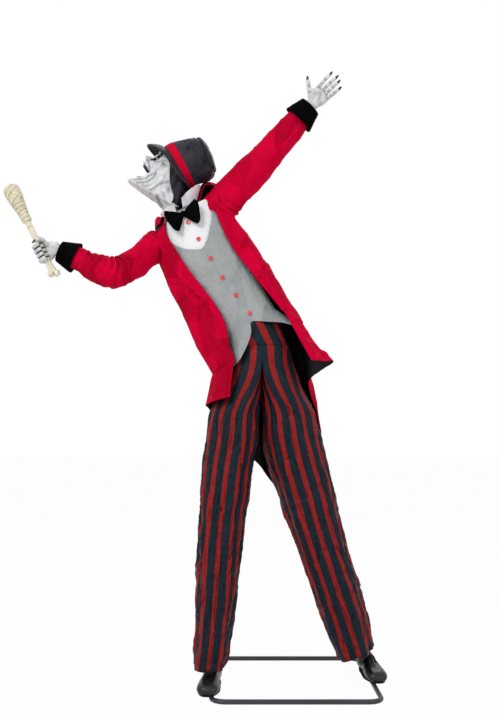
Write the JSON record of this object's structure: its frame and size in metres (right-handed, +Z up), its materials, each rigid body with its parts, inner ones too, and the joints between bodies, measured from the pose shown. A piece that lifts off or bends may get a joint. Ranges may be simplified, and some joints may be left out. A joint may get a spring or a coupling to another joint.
{
  "type": "animatronic showman figure",
  "caption": "Life-size leaning fire-eater prop on a bent tube base: motors tip the torso, head, jaw and torch arm; the raised arm is set by hand.",
  "frame": {"origin": "the middle of the whole figure's outline on the floor", "axes": "+Z up; the figure faces -Y; +X is the figure's left, and it leans and holds the torch towards -X"},
  "size_m": [1.4821, 0.6194, 2.4053],
  "materials": {
    "black_steel": "smooth black paint",
    "zinc_steel": "zinc plated",
    "black_vinyl": "glossy imitation leather",
    "striped_satin": "thin woven cloth with red stripes",
    "grey_plastic": "moulded, matt",
    "black_plastic": "moulded, fine grain",
    "white_cotton": "plain woven cloth",
    "grey_satin": "soft sheen satin",
    "red_plastic": "glossy",
    "black_velvet": "short black pile",
    "red_satin": "soft sheen satin with a black lining",
    "grey_latex": "matt painted latex",
    "charcoal_satin": "soft sheen satin",
    "bone_plastic": "bone coloured with brown shading",
    "eye_plastic": "translucent, lit from behind"
  },
  "bodies": {
    "base": {"base_front_frame": "black_steel", "base_rear_frame": "black_steel", "right_lower_leg_tube": "zinc_steel", "right_upper_leg_tube": "zinc_steel", "left_lower_leg_tube": "zinc_steel", "left_upper_leg_tube": "zinc_steel", "hip_yoke": "zinc_steel", "right_shoe": "black_vinyl", "left_shoe": "black_vinyl", "trousers": "striped_satin", "waist_motor": "black_plastic"},
    "waist_crank": {"waist_crank": "zinc_steel"},
    "waist_link": {"waist_link": "zinc_steel"},
    "torso": {"waist_shaft": "zinc_steel", "spine": "zinc_steel", "shoulder_bar": "zinc_steel", "shoulder_bolt": "zinc_steel", "chest_form": "grey_plastic", "control_box": "black_plastic", "power_inlet": "black_plastic", "neck_motor": "black_plastic", "waistband": "striped_satin", "shirt_front": "white_cotton", "shirt_collar": "white_cotton", "vest": "grey_satin", "shirt_button_1": "red_plastic", "shirt_button_2": "red_plastic", "vest_button_1": "red_plastic", "vest_button_2": "red_plastic", "vest_button_3": "red_plastic", "vest_button_4": "red_plastic", "bow_tie": "black_velvet", "coat": "red_satin", "throat": "grey_latex", "right_upper_sleeve": "red_satin", "right_upper_arm_tube": "zinc_steel", "elbow_motor": "black_plastic"},
    "power_switch": {"power_switch_knob": "black_plastic"},
    "head": {"skull": "grey_plastic", "mask": "grey_latex", "hood": "charcoal_satin", "right_eye": "eye_plastic", "left_eye": "eye_plastic", "upper_teeth": "bone_plastic", "jaw_motor": "black_plastic", "hat_crown": "charcoal_satin", "hat_band": "red_satin", "hat_brim": "charcoal_satin"},
    "jaw": {"jaw": "grey_latex", "lower_teeth": "bone_plastic"},
    "right_forearm": {"right_forearm_tube": "zinc_steel", "right_lower_sleeve": "red_satin", "right_cuff": "black_velvet", "right_hand": "grey_latex", "torch_handle": "bone_plastic", "torch_wrap": "white_cotton"},
    "left_arm": {"left_arm_tube": "zinc_steel", "left_sleeve": "red_satin", "left_cuff": "black_velvet", "left_hand": "grey_latex"}
  },
  "joints": [
    {"name": "waist_lean", "type": "hinge", "parent": "base", "child": "torso", "pos_m": [0.2504, 0, 1.35], "axis": [0, 1, 0], "range_deg": [-4, 22], "deforming": ["coat", "vest", "waistband"]},
    {"name": "waist_crank_turn", "type": "hinge", "parent": "base", "child": "waist_crank", "pos_m": [0.2504, 0, 1.272], "axis": [0, 1, 0], "range_deg": [-4, 22]},
    {"name": "waist_link_turn", "type": "hinge", "parent": "waist_crank", "child": "waist_link", "pos_m": [0.21519, 0, 1.26452], "axis": [0, 1, 0], "range_deg": [-22, 4]},
    {"name": "neck_tilt", "type": "hinge", "parent": "torso", "child": "head", "pos_m": [-0.11789, 0, 1.93939], "axis": [0, -1, 0], "range_deg": [0, 24], "deforming": ["hood", "throat"]},
    {"name": "jaw_hinge", "type": "hinge", "parent": "head", "child": "jaw", "pos_m": [-0.13624, 0, 1.98926], "axis": [0, 1, 0], "range_deg": [0, 24]},
    {"name": "right_elbow", "type": "hinge", "parent": "torso", "child": "right_forearm", "pos_m": [-0.3126, -0.11, 1.6], "axis": [0, 1, 0], "range_deg": [0, 34], "deforming": ["right_lower_sleeve"]},
    {"name": "left_shoulder", "type": "hinge", "parent": "torso", "child": "left_arm", "pos_m": [0.09028, 0, 1.9044], "axis": [0, 1, 0], "range_deg": [-6, 24], "deforming": ["left_sleeve"]},
    {"name": "power_switch_slide", "type": "slide", "parent": "torso", "child": "power_switch", "axis": [0.848, 0, 0.5299], "range_m": [0, 0.003]}
  ],
  "couplings": [
    {"joint": "waist_crank_turn", "follows": "waist_lean", "ratio": 1},
    {"joint": "waist_link_turn", "follows": "waist_lean", "ratio": -1}
  ]
}
